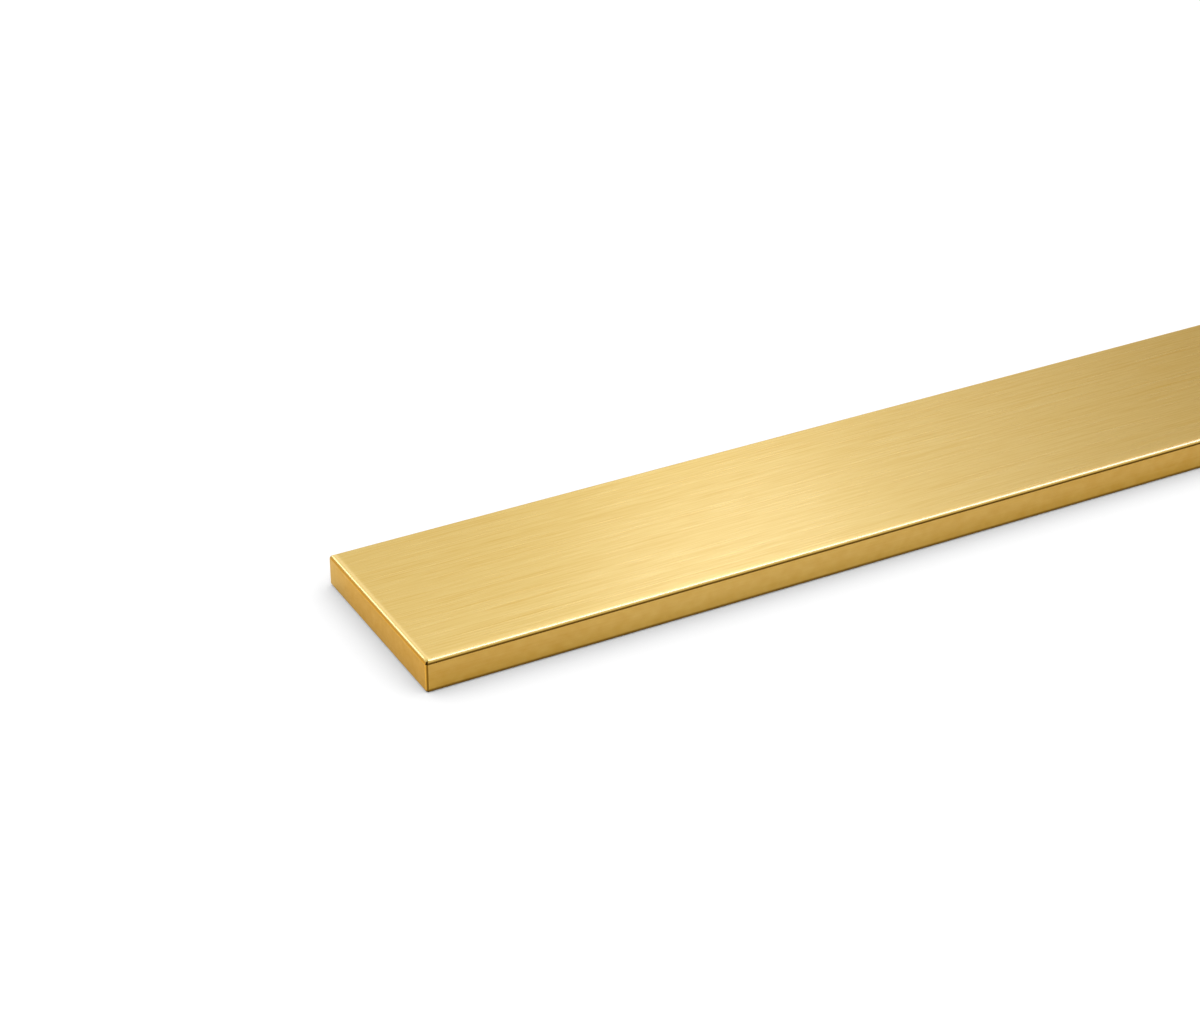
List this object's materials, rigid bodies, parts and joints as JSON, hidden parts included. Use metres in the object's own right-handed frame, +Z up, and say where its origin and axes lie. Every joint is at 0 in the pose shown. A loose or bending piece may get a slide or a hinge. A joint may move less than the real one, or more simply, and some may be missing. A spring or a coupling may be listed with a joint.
{
  "type": "metal flat bar",
  "caption": "Long brass flat bar of plain rectangular section, cut square at both ends, with lengthwise brushed faces and softly rounded edges.",
  "frame": {"origin": "middle of the underside, the broad face that the bar rests on", "axes": "+X along the bar's length, +Y across its width, +Z up through its thickness"},
  "size_m": [0.5, 0.04, 0.006],
  "materials": {
    "brushed_brass": "satin"
  },
  "bodies": {
    "root": {"flat_bar": "brushed_brass"}
  },
  "joints": []
}
